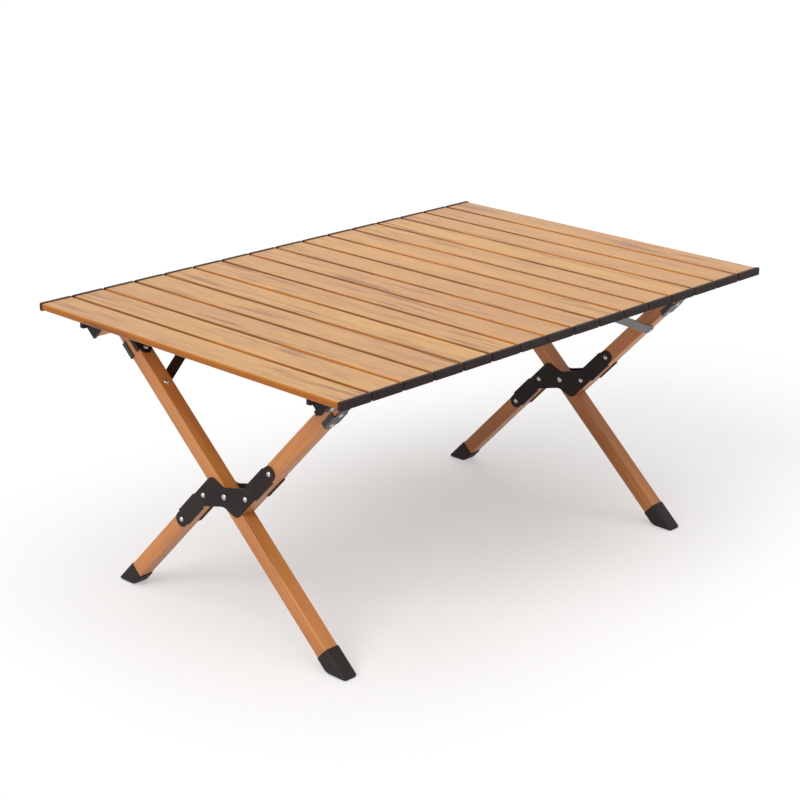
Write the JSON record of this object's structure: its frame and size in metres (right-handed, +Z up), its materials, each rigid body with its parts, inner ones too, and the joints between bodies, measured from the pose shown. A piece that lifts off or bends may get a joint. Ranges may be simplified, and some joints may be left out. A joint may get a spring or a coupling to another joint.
{
  "type": "roll top camp table",
  "caption": "Low folding camp table: a roll-up top of wood-grain slats on elastic cords lies across two rails carried by crossed folding leg frames.",
  "frame": {"origin": "on the floor under the middle of the top", "axes": "+X across the slats along the length of the top, +Y along the slats, +Z up"},
  "size_m": [0.9, 0.592, 0.424],
  "materials": {
    "slat_grain": "aluminium extrusion with a satin light wood-grain film",
    "tube_grain": "square aluminium tube with a satin wood-grain film",
    "cap_plastic": "fine-textured black moulded plastic",
    "foot_rubber": "matt black rubber",
    "black_steel": "black powder coat on steel sheet",
    "brace_steel": "dark grey satin coat on flat steel",
    "bright_steel": "bright plated steel rivets",
    "cord_fabric": "braided cover of an elastic cord"
  },
  "bodies": {
    "left_frame": {"rail_left": "tube_grain", "rail_caps_left": "cap_plastic", "leg_straight_near": "tube_grain", "leg_straight_far": "tube_grain", "leg_plugs_left": "cap_plastic", "feet_straight": "foot_rubber", "pivot_bushes": "bright_steel", "outer_brackets_left": "black_steel", "inner_brackets_left": "black_steel", "bracket_rivets_left": "bright_steel"},
    "right_frame": {"rail_right": "tube_grain", "rail_caps_right": "cap_plastic", "leg_split_upper_near": "tube_grain", "leg_split_upper_far": "tube_grain", "leg_split_lower_near": "tube_grain", "leg_split_lower_far": "tube_grain", "leg_plugs_right": "cap_plastic", "feet_split": "foot_rubber", "cross_plates_near": "black_steel", "cross_plates_far": "black_steel", "cross_rivets": "bright_steel", "pivot_pins": "bright_steel", "outer_brackets_right": "black_steel", "inner_brackets_right": "black_steel", "bracket_rivets_right": "bright_steel"},
    "brace_near": {"brace_near": "brace_steel"},
    "brace_far": {"brace_far": "brace_steel"},
    "slat_01": {"slat_01": "slat_grain", "slat_caps_01": "cap_plastic"},
    "slat_02": {"slat_02": "slat_grain", "slat_caps_02": "cap_plastic"},
    "slat_03": {"slat_03": "slat_grain", "slat_caps_03": "cap_plastic"},
    "slat_04": {"slat_04": "slat_grain", "slat_caps_04": "cap_plastic"},
    "slat_05": {"slat_05": "slat_grain", "slat_caps_05": "cap_plastic"},
    "slat_06": {"slat_06": "slat_grain", "slat_caps_06": "cap_plastic"},
    "slat_07": {"slat_07": "slat_grain", "slat_caps_07": "cap_plastic"},
    "slat_08": {"slat_08": "slat_grain", "slat_caps_08": "cap_plastic"},
    "slat_09": {"slat_09": "slat_grain", "slat_caps_09": "cap_plastic"},
    "slat_10": {"slat_10": "slat_grain", "slat_caps_10": "cap_plastic"},
    "slat_11": {"slat_11": "slat_grain", "slat_caps_11": "cap_plastic"},
    "slat_12": {"slat_12": "slat_grain", "slat_caps_12": "cap_plastic"},
    "slat_13": {"slat_13": "slat_grain", "slat_caps_13": "cap_plastic"},
    "slat_14": {"slat_14": "slat_grain", "slat_caps_14": "cap_plastic"},
    "slat_15": {"slat_15": "slat_grain", "slat_caps_15": "cap_plastic"},
    "slat_16": {"slat_16": "slat_grain", "slat_caps_16": "cap_plastic", "elastic_cords": "cord_fabric"}
  },
  "joints": [
    {"name": "frame_fold", "type": "hinge", "parent": "left_frame", "child": "right_frame", "pos_m": [0, 0, 0.196], "axis": [-1, 0, 0], "range_deg": [0, 86]},
    {"name": "top_lift", "type": "slide", "parent": "left_frame", "child": "slat_16", "axis": [0, 0, 1], "range_m": [0, 0.46]},
    {"name": "roll_15", "type": "hinge", "parent": "slat_16", "child": "slat_15", "pos_m": [0.39458, 0, 0.424], "axis": [0, 1, 0], "range_deg": [0, 40], "deforming": ["elastic_cords"]},
    {"name": "roll_14", "type": "hinge", "parent": "slat_15", "child": "slat_14", "pos_m": [0.33821, 0, 0.424], "axis": [0, 1, 0], "range_deg": [0, 40.12]},
    {"name": "roll_13", "type": "hinge", "parent": "slat_14", "child": "slat_13", "pos_m": [0.28184, 0, 0.424], "axis": [0, 1, 0], "range_deg": [0, 40.29]},
    {"name": "roll_12", "type": "hinge", "parent": "slat_13", "child": "slat_12", "pos_m": [0.22548, 0, 0.424], "axis": [0, 1, 0], "range_deg": [0, 40.74]},
    {"name": "roll_11", "type": "hinge", "parent": "slat_12", "child": "slat_11", "pos_m": [0.16911, 0, 0.424], "axis": [0, 1, 0], "range_deg": [0, 41.62]},
    {"name": "roll_10", "type": "hinge", "parent": "slat_11", "child": "slat_10", "pos_m": [0.11274, 0, 0.424], "axis": [0, 1, 0], "range_deg": [0, 43.06]},
    {"name": "roll_09", "type": "hinge", "parent": "slat_10", "child": "slat_09", "pos_m": [0.05637, 0, 0.424], "axis": [0, 1, 0], "range_deg": [0, 45.22]},
    {"name": "roll_08", "type": "hinge", "parent": "slat_09", "child": "slat_08", "pos_m": [0, 0, 0.424], "axis": [0, 1, 0], "range_deg": [0, 48.23]},
    {"name": "roll_07", "type": "hinge", "parent": "slat_08", "child": "slat_07", "pos_m": [-0.05637, 0, 0.424], "axis": [0, 1, 0], "range_deg": [0, 52.23]},
    {"name": "roll_06", "type": "hinge", "parent": "slat_07", "child": "slat_06", "pos_m": [-0.11274, 0, 0.424], "axis": [0, 1, 0], "range_deg": [0, 57.37]},
    {"name": "roll_05", "type": "hinge", "parent": "slat_06", "child": "slat_05", "pos_m": [-0.16911, 0, 0.424], "axis": [0, 1, 0], "range_deg": [0, 63.79]},
    {"name": "roll_04", "type": "hinge", "parent": "slat_05", "child": "slat_04", "pos_m": [-0.22548, 0, 0.424], "axis": [0, 1, 0], "range_deg": [0, 71.63]},
    {"name": "roll_03", "type": "hinge", "parent": "slat_04", "child": "slat_03", "pos_m": [-0.28184, 0, 0.424], "axis": [0, 1, 0], "range_deg": [0, 81.03]},
    {"name": "roll_02", "type": "hinge", "parent": "slat_03", "child": "slat_02", "pos_m": [-0.33821, 0, 0.424], "axis": [0, 1, 0], "range_deg": [0, 92.14]},
    {"name": "roll_01", "type": "hinge", "parent": "slat_02", "child": "slat_01", "pos_m": [-0.39458, 0, 0.424], "axis": [0, 1, 0], "range_deg": [0, 105.1]},
    {"name": "brace_near_swing", "type": "hinge", "parent": "left_frame", "child": "brace_near", "pos_m": [-0.363, 0.1462, 0.31076], "axis": [0, 0.6692, -0.7431], "range_deg": [0, 100]},
    {"name": "brace_far_swing", "type": "hinge", "parent": "right_frame", "child": "brace_far", "pos_m": [0.363, -0.1619, 0.31334], "axis": [0, -0.7285, -0.6851], "range_deg": [0, 100]}
  ],
  "couplings": [
    {"joint": "top_lift", "follows": "frame_fold", "m_per_rad": 0.3},
    {"joint": "roll_14", "follows": "roll_15", "ratio": 1.0006},
    {"joint": "roll_13", "follows": "roll_15", "ratio": 1.0047},
    {"joint": "roll_12", "follows": "roll_15", "ratio": 1.016},
    {"joint": "roll_11", "follows": "roll_15", "ratio": 1.0379},
    {"joint": "roll_10", "follows": "roll_15", "ratio": 1.074},
    {"joint": "roll_09", "follows": "roll_15", "ratio": 1.1279},
    {"joint": "roll_08", "follows": "roll_15", "ratio": 1.2031},
    {"joint": "roll_07", "follows": "roll_15", "ratio": 1.3032},
    {"joint": "roll_06", "follows": "roll_15", "ratio": 1.4317},
    {"joint": "roll_05", "follows": "roll_15", "ratio": 1.5922},
    {"joint": "roll_04", "follows": "roll_15", "ratio": 1.7882},
    {"joint": "roll_03", "follows": "roll_15", "ratio": 2.0233},
    {"joint": "roll_02", "follows": "roll_15", "ratio": 2.3011},
    {"joint": "roll_01", "follows": "roll_15", "ratio": 2.625}
  ]
}
